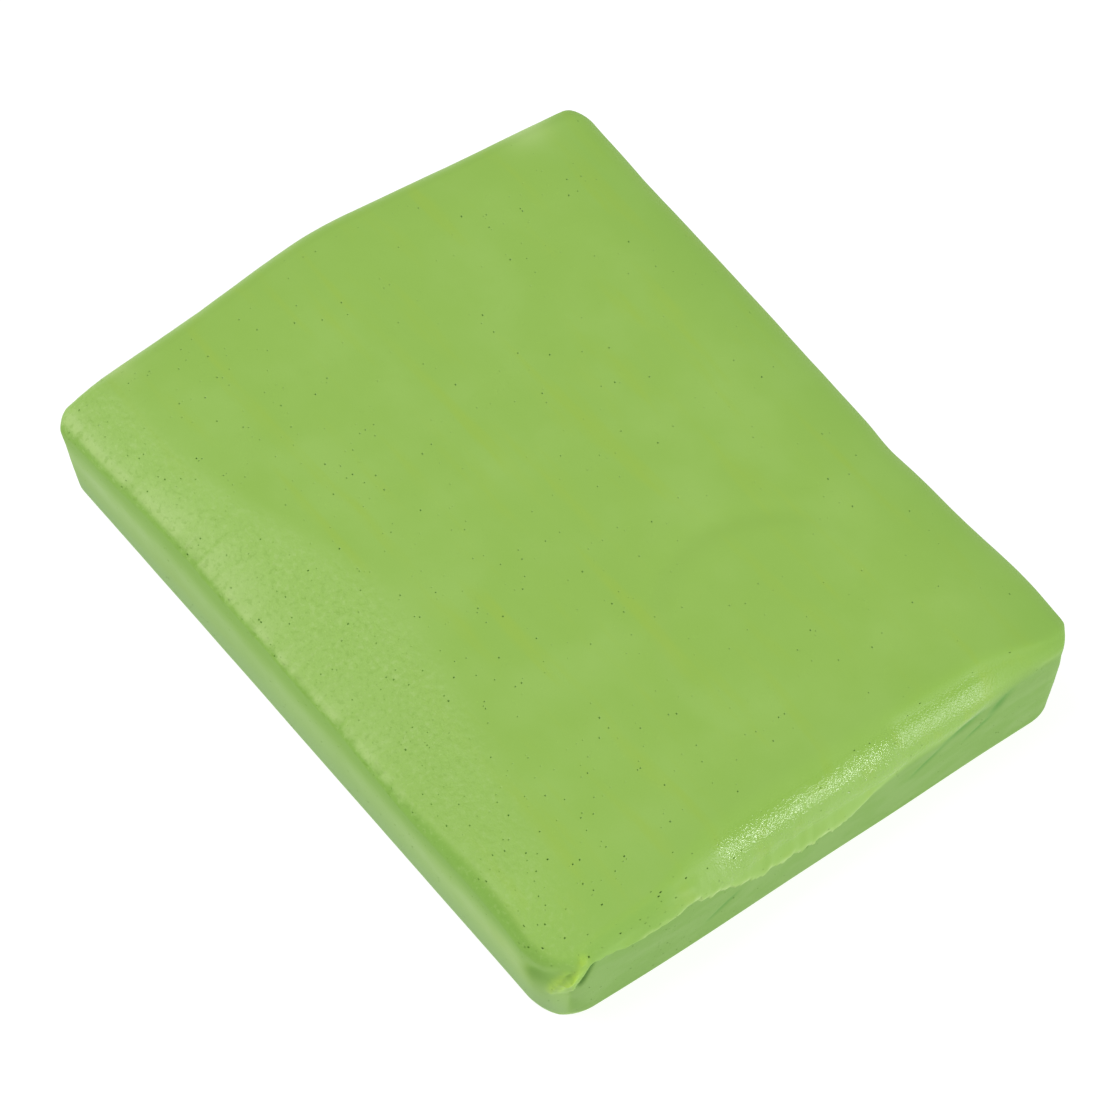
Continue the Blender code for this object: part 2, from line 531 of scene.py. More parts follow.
# Dragged, dark streaks across the near cut face: start and end as (y, z), and half width. Each is
# strongest about its middle: its strength follows the given part of half a sine wave.
SMEARS = (
    ((23.8, 10.6), (21.3, 8.2), 0.55),
    ((21.8, 8.0), (18.6, 6.4), 0.26),
    ((20.4, 10.2), (15.5, 8.6), 0.50),
    ((15.8, 8.3), (11.8, 5.8), 0.30),
    ((-9.0, 5.6), (-13.0, 3.6), 0.22),
)
SMEAR_WAVE = (0.12, 0.95)
SMEAR_DEPTH = 0.10

# The dragged unevenness of the cut face: height, size, and how much longer it is across the bar.
DRAG_HEIGHT = 0.035
DRAG_SIZE = 2.2
DRAG_STRETCH = (1.0, 2.4, 1.0)

# Pale crumbs along the torn edge: their size, how the noise makes them, and where they are.
CRUMB_SIZE = 0.8
CRUMB_PATCHES = (0.5, 1.2)
CRUMB_ABOVE_EDGE = 0.2
CRUMB_REACH = 0.45
CRUMB_START_RAMP = (-23.0, -20.0)


def lip_height(y):
    """Height of the lower edge of the skin that laps over the near cut face."""
    slope = mix(LIP_LEFT, LIP_MIDDLE, smooth_step(y, *LIP_MIDDLE_RAMP))
    ragged = sum(height * wobble_along(y, *settings) for height, *settings in LIP_TEARS)
    calm = 1.0 - LIP_CALM * smooth_step(-y, *LIP_CALM_RAMP)
    torn = ragged * (1.0 - smooth_step(y, *LIP_SOFT_RAMP)) * calm
    corner = LIP_CORNER_DROP * smooth_step(-y, *LIP_CORNER_RAMP)
    return slope + ramps(y, LIP_RISE_RAMPS) + humps(y, LIP_SCALLOP_HUMPS) - corner + torn


def smear_marks(points):
    """The dark streaks, as a mark."""
    smear = np.zeros(len(points))
    for start, end, width in SMEARS:
        distance, share = segment_distance(points[:, 1:], start, end)
        smear += hump(distance, 0.0, width) * np.sin(math.pi * mix(*SMEAR_WAVE, share))
    return smear


def near_end_detail(points, normals, marks):
    """The lapped lip and the smeared cut face below it."""
    y, z = points[:, 1], points[:, 2]
    facing = smooth_step(normals[:, 0], *FACING_END_RAMP)
    soft = smooth_step(y, *LIP_SOFT_RAMP)
    edge = lip_height(y)
    blur = mix(*LIP_BLUR, soft)
    below = smooth_step(edge - z, -blur, blur)
    thin = 1.0 - LIP_THINNING * smooth_step(-y, *LIP_THIN_RAMP)
    lip = mix(*LIP_STEP, soft) * thin * hump(z, edge, LIP_REACH) * (1.0 - below)
    smear = smear_marks(points) * facing
    drag = DRAG_HEIGHT * wobble(points, DRAG_SIZE, 3, DRAG_STRETCH) * below
    crumbs = patches(wobble(points, CRUMB_SIZE), *CRUMB_PATCHES)
    crumbs *= hump(z, edge + CRUMB_ABOVE_EDGE, CRUMB_REACH) * facing
    marks["cut"] = facing * below
    marks["smear"] = smear
    marks["pale"] = crumbs * (1.0 - soft) * smooth_step(y, *CRUMB_START_RAMP)
    return along((lip + drag) * facing - SMEAR_DEPTH * smear, (1.0, 0.0, 0.0))


# The far end was cut too: the height of its rolled rim's lower edge, how that wanders and blurs,
# how far the face is set in, and its dragged unevenness.
FAR_EDGE = 11.2
FAR_EDGE_WANDER = 0.5
FAR_EDGE_WANDER_SIZE = 6.0
FAR_EDGE_BLUR = 0.4
FAR_CUT_DEPTH = 0.14
FAR_DRAG_HEIGHT = 0.06
FAR_DRAG_SIZE = 3.0
FAR_DRAG_STRETCH = (1.0, 4.0, 0.6)


def far_end_detail(points, normals, marks):
    """A plain, slightly dragged cut face under a rolled rim."""
    y, z = points[:, 1], points[:, 2]
    facing = smooth_step(-normals[:, 0], *FACING_END_RAMP)
    edge = FAR_EDGE + FAR_EDGE_WANDER * wobble_along(y, FAR_EDGE_WANDER_SIZE, FAR_EDGE_ROW)
    below = smooth_step(edge - z, -FAR_EDGE_BLUR, FAR_EDGE_BLUR) * facing
    drag = FAR_DRAG_HEIGHT * wobble(points, FAR_DRAG_SIZE, 3, FAR_DRAG_STRETCH)
    marks["cut"] = np.maximum(marks["cut"], below)
    return along((FAR_CUT_DEPTH + drag) * below, (1.0, 0.0, 0.0))


# The left wall below its crest: a groove and a band of painted shade that both grow towards the
# near corner.
CREST_DROP = 0.3
GROWTH_RAMP = (-6.0, 32.0)
GROOVE_DEPTH = (0.05, 0.22)
GROOVE_BELOW_CREST = 4.0
GROOVE_REACH = 2.6
BAND_SHADE_STRENGTH = (0.7, 0.95)
BAND_SHADE_FADE_RAMP = (0.6, 7.5)

# Painted bounce light from the floor pales the foot of both side walls, and fades out with height.
FOOT_BOUNCE_FADE_RAMP = (0.5, 8.5)

# Painted shade darkens the skin on the rounded edge by the near left corner, along the right side,
# and along the near end, but not low on the walls.
CORNER_SHADE = 0.6
CORNER_SHADE_RAMP = (14.0, 20.0)
CORNER_FACING_RAMP = (0.3, 0.7)
RIGHT_SHADE_RAMPS = ((0.45, 22.0, 32.0),)
NEAR_SHADE_RAMPS = ((0.25, 31.0, 39.0),)
SHADE_HEIGHT_RAMP = (5.0, 9.0)


def side_wall_detail(points, normals, marks):
    """The left wall's groove and painted shade band, and painted floor bounce light on both walls'
    feet.
    """
    x, z = points[:, 0], points[:, 2]
    left = smooth_step(-normals[:, 1], *FACING_SIDE_RAMP)
    right = smooth_step(normals[:, 1], *FACING_SIDE_RAMP)
    crest = THICKNESS - left_fall(x) - CREST_DROP
    growth = smooth_step(x, *GROWTH_RAMP)
    groove = mix(*GROOVE_DEPTH, growth) * hump(z, crest - GROOVE_BELOW_CREST, GROOVE_REACH) * left
    # Painted shade in a band below the crest. The painted shade of the rounded edges joins it.
    band = mix(*BAND_SHADE_STRENGTH, growth) * left * (1.0 - smooth_step(crest - z, *BAND_SHADE_FADE_RAMP))
    marks["band"] = np.maximum(band, edge_shade(points, normals, marks["cut"]))
    # Painted bounce light from the floor on the foot of each side wall.
    marks["foot"] = np.maximum(left, right) * (1.0 - smooth_step(z, *FOOT_BOUNCE_FADE_RAMP))
    return along(groove, (0.0, 1.0, 0.0))


def edge_shade(points, normals, cut):
    """How much painted shade darkens the skin towards the rounded edges, away from the cut faces."""
    x, y, z = points.T
    corner = smooth_step(-y, *CORNER_SHADE_RAMP) * smooth_step(normals[:, 0], *CORNER_FACING_RAMP)
    edges = ramps(y, RIGHT_SHADE_RAMPS) + ramps(x, NEAR_SHADE_RAMPS)
    shade = np.maximum(CORNER_SHADE * corner, edges)
    return shade * (1.0 - cut) * smooth_step(z, *SHADE_HEIGHT_RAMP)


# The crest along the left side is sharp in the middle of the bar, where its nicks are deepest, and
# it is worn pale in places. Where each of these is, how the noise makes it, and how deep it goes.
SHARP_STARTS_RAMP = (-27.0, -15.0)
SHARP_ENDS_RAMP = (16.0, 28.0)
NICK_BELOW_TOP = 0.2
NICK_REACH = 0.8
NICK_FACING_RAMP = (0.2, 0.6)
NICK_SIZE = 0.9
NICK_PATCHES = (-0.45, 2.2)
NICK_SHARE = (0.3, 1.0)
NICK_DEPTH = 0.24
WORN_FACING_RAMP = (0.25, 0.5)
WORN_FACING_END_RAMP = (0.7, 0.92)
WORN_SIZE = 1.2
WORN_PATCHES = (0.75, 0.8)
WORN_ENDS_RAMP = (8.0, 24.0)

# The grainy strip above the crest, paler with painted light and sheen: how wide it is, where it
# fades, and its specks and lumps. The shift takes the lumps' noise from another place than the
# nicks'.
STRIP_LEAD = 3.5
STRIP_RAMP = (0.0, 7.0)
STRIP_FACING_RAMP = (0.1, 0.4)
STRIP_FADE = 0.5
STRIP_FADE_RAMP = (10.0, 26.0)
STRIP_GRAIN = 0.45
SPECK_SIZE = 0.75
SPECK_PATCHES = (-0.9, 2.4)
SPECK_PALE = 0.25
SPECK_HEIGHT = 0.06
LUMP_SHIFT = 40.0
LUMP_SIZE = 0.9
LUMP_HEIGHT = 0.05
CREST_OUTWARDS = (0.0, -0.6, 0.8)


def crest_nicks(points, normals):
    """Small nicks along the crest, shallower at both of its ends."""
    x, z = points[:, 0], points[:, 2]
    sharp = smooth_step(x, *SHARP_STARTS_RAMP) * (1.0 - smooth_step(x, *SHARP_ENDS_RAMP))
    crest = hump(z, THICKNESS - left_fall(x) - NICK_BELOW_TOP, NICK_REACH)
    crest *= smooth_step(-normals[:, 1], *NICK_FACING_RAMP)
    return patches(wobble(points, NICK_SIZE), *NICK_PATCHES) * crest * mix(*NICK_SHARE, sharp)


def worn_ridge(points, normals):
    """The pale, worn line along the crest."""
    x, outwards = points[:, 0], -normals[:, 1]
    ridge = smooth_step(outwards, *WORN_FACING_RAMP)
    ridge *= 1.0 - smooth_step(outwards, *WORN_FACING_END_RAMP)
    worn = patches(wobble_along(x, WORN_SIZE, RIDGE_ROW, 3), *WORN_PATCHES)
    return ridge * worn * (1.0 - smooth_step(x, *WORN_ENDS_RAMP))


def crest_detail(points, normals, marks):
    """The grainy strip above the left crest, paler with painted light, and the crest's nicks and
    worn line.
    """
    x, y = points[:, 0], points[:, 1]
    strip = smooth_step(left_slope_start(x) + STRIP_LEAD - y, *STRIP_RAMP)
    strip *= smooth_step(normals[:, 2], *STRIP_FACING_RAMP)
    strip *= 1.0 - STRIP_FADE * smooth_step(x, *STRIP_FADE_RAMP)
    specks = patches(wobble(points, SPECK_SIZE), *SPECK_PATCHES) * strip
    # The strip mark paints light and sheen into the colour, besides its grain.
    marks["strip"] = strip
    marks["grain"] = STRIP_GRAIN * strip
    marks["pale"] = np.maximum(marks["pale"], SPECK_PALE * specks)
    marks["pale"] = np.maximum(marks["pale"], worn_ridge(points, normals))
    lumps = SPECK_HEIGHT * specks - LUMP_HEIGHT * wobble(points + LUMP_SHIFT, LUMP_SIZE) * strip
    return along(lumps - NICK_DEPTH * crest_nicks(points, normals), CREST_OUTWARDS)


# The fold at the near corner, as lines from top to bottom and two hollows. Each stands out or sinks
# in by a height over a reach. The marks of the same lines have reaches of their own. The pocket's
# mark is a painted shadow, and the big hollow's mark is painted shade.
FLAP = ((40.6, -28.2, 11.3), (40.5, -29.3, 8.2), (39.8, -30.2, 5.2))
FLAP_HEIGHT = 0.85
FLAP_REACH = 0.42
FLAP_MARK_REACH = 0.50
RIDGE = ((40.0, -29.6, 10.0), (39.1, -30.4, 5.0))
RIDGE_HEIGHT = 0.36
RIDGE_REACH = 0.45
RIDGE_MARK = 0.8
RIDGE_MARK_REACH = 0.40
POCKET = ((41.1, -27.2, 10.0), (40.8, -28.3, 6.9))
POCKET_DEPTH = 0.60
POCKET_REACH = 0.42
POCKET_SHADOW = 0.9
POCKET_SHADOW_REACH = 0.38
HOLLOW = (38.0, -30.9, 7.1)
HOLLOW_SIZE = (1.4, 1.2, 1.9)
HOLLOW_DEPTH = 1.20
HOLLOW_SHADE = 1.2
NOTCH = (40.2, -29.6, 6.8)
NOTCH_SIZE = (0.35, 0.35, 0.7)
NOTCH_DEPTH = 0.50
FOLD_OUTWARDS = (0.78, -0.56, 0.28)

# The flap is torn: the height, size and reach of its crumbs, and how patchy its fresh face is.
FLAP_CRUMB_HEIGHT = 0.16
FLAP_CRUMB_SIZE = 0.7
FLAP_CRUMB_REACH = 1.1
TORN_SIZE = 0.6
TORN_PATCHES = (0.9, 0.7)


def corner_fold(points, marks):
    """A small torn flap at the near corner, with a soft ridge and a deep hollow on its left."""
    upper, _ = segment_distance(points, FLAP[0], FLAP[1])
    lower, _ = segment_distance(points, FLAP[1], FLAP[2])
    flap = np.minimum(upper, lower)
    ridge, _ = segment_distance(points, *RIDGE)
    pocket, _ = segment_distance(points, *POCKET)
    hollow = ball(points, HOLLOW, HOLLOW_SIZE)
    crumbs = FLAP_CRUMB_HEIGHT * wobble(points, FLAP_CRUMB_SIZE, 3)
    crumbs *= hump(flap, 0.0, FLAP_CRUMB_REACH)
    amount = FLAP_HEIGHT * hump(flap, 0.0, FLAP_REACH) + RIDGE_HEIGHT * hump(ridge, 0.0, RIDGE_REACH)
    amount += crumbs - POCKET_DEPTH * hump(pocket, 0.0, POCKET_REACH)
    amount -= HOLLOW_DEPTH * hollow + NOTCH_DEPTH * ball(points, NOTCH, NOTCH_SIZE)
    torn = patches(wobble(points, TORN_SIZE), *TORN_PATCHES)
    fresh_ridge = RIDGE_MARK * hump(ridge, 0.0, RIDGE_MARK_REACH)
    marks["fresh"] = np.maximum(hump(flap, 0.0, FLAP_MARK_REACH), fresh_ridge) * torn
    # Painted shadow in the pocket under the lip's end, carried by the smear mark.
    shadow = POCKET_SHADOW * hump(pocket, 0.0, POCKET_SHADOW_REACH)
    marks["smear"] = np.maximum(marks["smear"], shadow)
    # Painted shade in the hollow, carried by the band mark.
    marks["band"] = np.clip(marks["band"] + HOLLOW_SHADE * hollow, 0.0, 1.0)
    return along(amount, FOLD_OUTWARDS)


# The bead at the right corner and the groove under it: middle, radii and height of each.
BEAD = ((40.2, 28.8, 13.2), (0.5, 1.1, 0.45))
BEAD_HEIGHT = 0.30
BEAD_GROOVE = ((40.6, 28.6, 12.0), (0.6, 1.6, 0.5))
BEAD_GROOVE_DEPTH = 0.25
BEAD_OUTWARDS = (0.8, 0.1, 0.6)


def right_corner_pinch(points):
    """A tiny pinched bead where the near rim meets the right corner."""
    bead = BEAD_HEIGHT * ball(points, *BEAD)
    return along(bead - BEAD_GROOVE_DEPTH * ball(points, *BEAD_GROOVE), BEAD_OUTWARDS)


# Painted glints, pale spots where the far rim rolls over: middle, radii and strength.
PAINTED_GLINTS = (
    ((-37.8, 25.5, 14.0), (2.2, 2.6, 2.0), 0.75),
    ((-37.6, -24.6, 13.3), (1.6, 1.4, 2.0), 0.45),
    ((-38.6, -30.6, 11.5), (1.3, 1.0, 0.9), 0.90),
)


def painted_glints(points, marks):
    """Painted glints at the far corners."""
    for middle, radii, strength in PAINTED_GLINTS:
        marks["pale"] = np.maximum(marks["pale"], strength * ball(points, middle, radii))


# The rounded rim above the near cut face: where it begins, and where it is grainy. The grain fades
# in two steps towards the right.
RIM_FACING_RAMP = (0.25, 0.6)
RIM_BOTTOM_RAMP = (8.5, 10.5)
GRAINY_RAMP = (-17.0, -9.0)
GRAINY_RIGHT = 0.78
GRAINY_RIGHT_RAMP = (8.0, 12.0)
GRAINY_END = 0.5
GRAINY_END_RAMP = (19.0, 26.0)
GRAINY_HEIGHT = 0.03
GRAINY_SIZE = 0.8

# The kink on the rim where two presses meet, and the small step in beyond it.
KINK_HEIGHT = 0.16
KINK_HUMP = (9.0, 0.7)
KINK_BOTTOM_RAMP = (11.5, 13.0)
RIM_STEP = 0.30
RIM_STEP_RAMP = (8.8, 11.5)
RIM_OUTWARDS = (0.7, 0.0, 0.7)


def near_rim_detail(points, normals, marks):
    """The grainy rounded rim above the cut face, with a small kink where two presses meet."""
    y, z = points[:, 1], points[:, 2]
    band = smooth_step(normals[:, 0], *RIM_FACING_RAMP) * smooth_step(z, *RIM_BOTTOM_RAMP)
    grainy = band * smooth_step(y, *GRAINY_RAMP)
    grainy *= mix(1.0, GRAINY_RIGHT, smooth_step(y, *GRAINY_RIGHT_RAMP))
    grainy *= mix(1.0, GRAINY_END, smooth_step(y, *GRAINY_END_RAMP))
    marks["grain"] = np.maximum(marks["grain"], grainy)
    amount = GRAINY_HEIGHT * wobble(points, GRAINY_SIZE, 3) * grainy
    amount += KINK_HEIGHT * hump(y, *KINK_HUMP) * band * smooth_step(z, *KINK_BOTTOM_RAMP)
    amount -= RIM_STEP * smooth_step(y, *RIM_STEP_RAMP) * band
    return along(amount, RIM_OUTWARDS)


# Slow unevenness of the pressed top and sides, and faint streaks along the bar: height, size and
# stretch of each.
WAVES = (
    (0.08, 17.0, (1.0, 1.0, 1.0)),
    (0.025, 5.0, (1.0, 1.0, 1.0)),
    (0.008, 1.3, (9.0, 1.0, 1.0)),
)


def surface_waves(points):
    return sum(height * wobble(points, size, 2, stretch) for height, size, stretch in WAVES)


# ---------------------------------------------------------------------------------------------
# Building the mesh
# ---------------------------------------------------------------------------------------------


def mesh_from(points, quads, name):
    mesh = bpy.data.meshes.new(name)
    mesh.from_pydata((points * MM).tolist(), [], quads.tolist())
    mesh.update()
    return mesh


def vertex_normals(points, quads):
    mesh = mesh_from(points, quads, "scratch")
    normals = np.empty(len(points) * 3)
    mesh.vertex_normals.foreach_get("vector", normals)
    bpy.data.meshes.remove(mesh)
    return normals.reshape(-1, 3)


def shaped_bar():
    """(points, quads, marks) of the whole bar without its pinholes. The underside has no marks."""
    straight, quads = block_surface()
    points = press(round_corners(round_edges(straight)))
    normals = vertex_normals(points, quads)
    marks = {name: np.zeros(len(points)) for name in MARKS}
    offsets = near_end_detail(points, normals, marks) + far_end_detail(points, normals, marks)
    offsets += side_wall_detail(points, normals, marks) + crest_detail(points, normals, marks)
    offsets += corner_fold(points, marks) + right_corner_pinch(points)
    offsets += near_rim_detail(points, normals, marks)
    painted_glints(points, marks)
    offsets += surface_waves(points)[:, None] * normals
    offsets *= smooth_step(points[:, 2], *DETAIL_RAMP)[:, None]
    shaped = points + offsets
    under = straight[:, 2] < FLAT
    shaped[under, 2] = 0.0
    for values in marks.values():
        values[under] = 0.0
    return shaped, quads, marks


def merge_underside(mesh):
    """Makes the flat underside one face."""
    under = [face for face in mesh.faces if all(vert.co.z < FLAT * MM for vert in face.verts)]
    bmesh.ops.dissolve_faces(mesh, faces=under, use_verts=True)
    for face in mesh.faces:
        face.smooth = face.calc_center_median().z > FLAT * MM


def crowding(centres):
    """How close together the pinholes lie at each place."""
    left = CROWDED_LEFT * smooth_step(-centres[:, 1], *CROWDED_LEFT_RAMP)
    near = CROWDED_NEAR * smooth_step(centres[:, 0], *CROWDED_NEAR_RAMP)
    uneven = CROWDED_PATCHES * wobble(centres, CROWDED_PATCH_SIZE)
    return np.maximum(1.0 + left + uneven + near, LEAST_CROWDING)


def pinhole_faces(mesh, random):
    """Faces that get a pinhole: scattered, and closer together in the crowded places."""
    faces = [face for face in mesh.faces if face.calc_center_median().z > PINHOLE_FLOOR * MM]
    centres = np.array([face.calc_center_median() for face in faces]) / MM
    areas = np.array([face.calc_area() for face in faces])
    share = areas * crowding(centres)
    picked = random.choice(len(faces), PINHOLES, replace=False, p=share / share.sum())
    return [faces[number] for number in picked]


def shrink_face(face, radius):
    """Pulls a face's corners in to a small ring round its middle."""
    middle = face.calc_center_median()
    for vert in face.verts:
        vert.co = middle + (vert.co - middle).normalized() * radius


def sink_face(face, depth, normal, mark, layer):
    for vert in face.verts:
        vert.co -= normal * depth
        # The pit mark paints shade on the crater's floor.
        vert[layer] = mark


def add_pinholes(mesh):
    """Sinks a small crater into each picked face: a rim ring, then a deeper, smaller floor of
    painted shade.
    """
    random = np.random.default_rng(RANDOM_SEED)
    layer = mesh.verts.layers.float["pit_shade"]
    faces = pinhole_faces(mesh, random)
    normals = [face.normal.copy() for face in faces]
    strengths = random.uniform(*PINHOLE_SIZES, len(faces)) ** PINHOLE_POWER
    bmesh.ops.inset_individual(mesh, faces=faces, thickness=PINHOLE_RADIUS[0] * MM)
    for face, strength in zip(faces, strengths):
        shrink_face(face, mix(*PINHOLE_RADIUS, strength) * MM)
    bmesh.ops.inset_individual(mesh, faces=faces, thickness=PINHOLE_RADIUS[0] * WALL_SHARE * MM)
    for face, normal, strength in zip(faces, normals, strengths):
        shrink_face(face, mix(*PINHOLE_RADIUS, strength) * FLOOR_SHARE * MM)
        mark = mix(*PINHOLE_SHADE, strength)
        sink_face(face, mix(*PINHOLE_DEPTH, strength) * MM, normal, mark, layer)


def make_clay_bar():
    points, quads, marks = shaped_bar()
    data = mesh_from(points, quads, "clay")
    for name, values in marks.items():
        data.attributes.new(name, "FLOAT", "POINT").data.foreach_set("value", values)
    mesh = bmesh.new()
    mesh.from_mesh(data)
    add_pinholes(mesh)
    merge_underside(mesh)
    mesh.to_mesh(data)
    mesh.free()
    piece = bpy.data.objects.new("clay", data)
    bpy.context.scene.collection.objects.link(piece)
    return piece


# ---------------------------------------------------------------------------------------------
# Materials
# ---------------------------------------------------------------------------------------------

# The band and pit greens are painted shade, the foot green is painted bounce light from the floor,
# and the strip green is painted light and sheen. The smear green also serves as a painted shadow.
GREEN = (0.288, 0.506, 0.078, 1.0)
GREEN_LIGHT = (0.312, 0.532, 0.098, 1.0)
GREEN_YELLOW = (0.312, 0.512, 0.064, 1.0)
GREEN_STRIP_LIT = (0.318, 0.540, 0.104, 1.0)
GREEN_BAND_SHADE = (0.228, 0.440, 0.068, 1.0)
GREEN_FOOT_BOUNCE_LIGHT = (0.312, 0.492, 0.185, 1.0)
GREEN_CUT = (0.214, 0.384, 0.088, 1.0)
GREEN_CUT_LIGHT = (0.236, 0.402, 0.108, 1.0)
GREEN_SPECK = (0.225, 0.425, 0.055, 1.0)
GREEN_SMEAR_AND_SHADOW = (0.140, 0.330, 0.068, 1.0)
GREEN_PALE = (0.420, 0.620, 0.190, 1.0)
GREEN_FRESH = (0.420, 0.660, 0.065, 1.0)
GREEN_PIT_SHADE = (0.105, 0.260, 0.025, 1.0)

# Noise textures as (size in millimetres, detail, stretch), and the RAMP of each that shows.
EVEN = (1.0, 1.0, 1.0)
MOTTLING = (9.0, 3.0, EVEN)
MOTTLING_RAMP = (0.35, 0.75)
STREAKS = (2.5, 3.0, (7.0, 1.0, 1.0))
STREAKS_RAMP = (0.52, 0.75)
STREAKS_STRENGTH = 0.8
DRAGGED = (2.2, 4.0, (1.0, 2.5, 1.0))
DRAGGED_RAMP = (0.40, 0.65)
GRAINS = (0.5, 2.0, EVEN)
PALE_GRAINS_RAMP = (0.56, 0.68)
DARK_GRAINS_RAMP = (0.44, 0.32)
GRAINS_STRENGTH = 0.35

# Roughness of the plain clay varies between two values. Each marked region has its own, and where
# the grain mark is strong the skin is polished.
SATIN = (3.0, 3.0, EVEN)
SATIN_RAMP = (0.3, 0.7)
SATIN_ROUGHNESS = (0.42, 0.50)
REGION_ROUGHNESS = {"strip": 0.62, "band": 0.90, "foot": 0.90, "cut": 0.92}
POLISHED_RAMP = (0.45, 1.0)
POLISHED_ROUGHNESS = 0.18
IOR = 1.45

# Two layers of bumps too small for the mesh: the texture, the height in millimetres, the mark that
# brings it out, and its strength without and with that mark.
BUMPS = (
    ((0.8, 3.0, EVEN), 0.24, "strip", (0.03, 1.0)),
    ((0.22, 2.0, EVEN), 0.11, "grain", (0.06, 0.68)),
)

FLOOR_COLOUR = (0.25, 0.25, 0.25, 1.0)
FLOOR_ROUGHNESS = 0.8
FLOOR_GLOW = 0.86
WHITE = (1.0, 1.0, 1.0, 1.0)


class Nodes:
    """Adds nodes to a material and links them, so that a material reads as a list of steps."""

    def __init__(self, material):
        self.tree = material.node_tree
        self.place = self.add("ShaderNodeTexCoord").outputs["Object"]

    def add(self, kind, **settings):
        node = self.tree.nodes.new(kind)
        for name, value in settings.items():
            setattr(node, name, value)
        return node

    def feed(self, socket, value):
        """Links a socket to another, or sets it to a plain value."""
        if isinstance(value, bpy.types.NodeSocket):
            self.tree.links.new(value, socket)
        else:
            socket.default_value = value

    def noise(self, size, detail, stretch):
        """Noise whose lumps are about size millimetres across, from 0 to 1."""
        mapping = self.add("ShaderNodeMapping")
        self.feed(mapping.inputs["Vector"], self.place)
        mapping.inputs["Scale"].default_value = [1.0 / (size * MM * part) for part in stretch]
        texture = self.add("ShaderNodeTexNoise")
        self.feed(texture.inputs["Vector"], mapping.outputs["Vector"])
        texture.inputs["Scale"].default_value = 1.0
        texture.inputs["Detail"].default_value = detail
        return texture.outputs["Fac"]

    def mark(self, name):
        return self.add("ShaderNodeAttribute", attribute_name=name).outputs["Fac"]

    def ramp(self, value, start, end, low=0.0, high=1.0):
        """A smooth ramp from low, where value is at start, to high, where it is at end."""
        node = self.add("ShaderNodeMapRange", interpolation_type="SMOOTHSTEP")
        given = {"Value": value, "From Min": start, "From Max": end, "To Min": low, "To Max": high}
        for name, setting in given.items():
            self.feed(node.inputs[name], setting)
        return node.outputs["Result"]

    def multiply(self, first, second):
        node = self.add("ShaderNodeMath", operation="MULTIPLY")
        self.feed(node.inputs[0], first)
        self.feed(node.inputs[1], second)
        return node.outputs["Value"]

    def blend(self, share, first, second):
        """The first colour where share is 0, and the second where it is 1."""
        node = self.add("ShaderNodeMix", data_type="RGBA")
        self.feed(node.inputs["Factor"], share)
        self.feed(node.inputs["A"], first)
        self.feed(node.inputs["B"], second)
        return node.outputs["Result"]


def clay_colour(nodes):
    """Faint mottling and streaks, then each marked region's colour, painted light and shade among
    them.
    """
    mottling = nodes.ramp(nodes.noise(*MOTTLING), *MOTTLING_RAMP)
    streaks = nodes.ramp(nodes.noise(*STREAKS), *STREAKS_RAMP, 0.0, STREAKS_STRENGTH)
    dragged = nodes.ramp(nodes.noise(*DRAGGED), *DRAGGED_RAMP)
    colour = nodes.blend(mottling, GREEN, GREEN_LIGHT)
    colour = nodes.blend(streaks, colour, GREEN_YELLOW)
    # Of these tints, band and pit paint shade, foot paints floor bounce light, and strip paints
    # light and sheen. Smear also paints a shadow, and pale also paints glints.
    for name, tint in (
        ("strip", GREEN_STRIP_LIT),
        ("band", GREEN_BAND_SHADE),
        ("foot", GREEN_FOOT_BOUNCE_LIGHT),
        ("cut", nodes.blend(dragged, GREEN_CUT, GREEN_CUT_LIGHT)),
        ("smear", GREEN_SMEAR_AND_SHADOW),
        ("pale", GREEN_PALE),
        ("fresh", GREEN_FRESH),
        ("pit_shade", GREEN_PIT_SHADE),
    ):
        colour = nodes.blend(nodes.mark(name), colour, tint)
    return with_grains(nodes, colour)


def with_grains(nodes, colour):
    """Adds the strip's pale and dark grains to a colour."""
    grains = nodes.noise(*GRAINS)
    for shown, tint in ((PALE_GRAINS_RAMP, GREEN_PALE), (DARK_GRAINS_RAMP, GREEN_SPECK)):
        specks = nodes.multiply(nodes.ramp(grains, *shown), GRAINS_STRENGTH)
        colour = nodes.blend(nodes.multiply(specks, nodes.mark("strip")), colour, tint)
    return colour


def clay_roughness(nodes):
    roughness = nodes.ramp(nodes.noise(*SATIN), *SATIN_RAMP, *SATIN_ROUGHNESS)
    for name, value in REGION_ROUGHNESS.items():
        roughness = nodes.ramp(nodes.mark(name), 0.0, 1.0, roughness, value)
    return nodes.ramp(nodes.mark("grain"), *POLISHED_RAMP, roughness, POLISHED_ROUGHNESS)


def add_bumps(nodes, shader):
    """Chains the layers of bumps into the shader's normal."""
    normal = None
    for texture, height, name, strengths in BUMPS:
        bump = nodes.add("ShaderNodeBump")
        bump.inputs["Distance"].default_value = height * MM
        nodes.feed(bump.inputs["Strength"], nodes.ramp(nodes.mark(name), 0.0, 1.0, *strengths))
        nodes.feed(bump.inputs["Height"], nodes.noise(*texture))
        if normal is not None:
            nodes.feed(bump.inputs["Normal"], normal)
        normal = bump.outputs["Normal"]
    nodes.feed(shader.inputs["Normal"], normal)


def clay_material():
    """Satin clay with a colour, a roughness and bumps for each marked region."""
    material = bpy.data.materials.new("clay")
    material.use_nodes = True
    nodes = Nodes(material)
    shader = material.node_tree.nodes["Principled BSDF"]
    nodes.feed(shader.inputs["Base Color"], clay_colour(nodes))
    nodes.feed(shader.inputs["Roughness"], clay_roughness(nodes))
    shader.inputs["IOR"].default_value = IOR
    shader.inputs["Subsurface Weight"].default_value = 0.0
    add_bumps(nodes, shader)
    return material


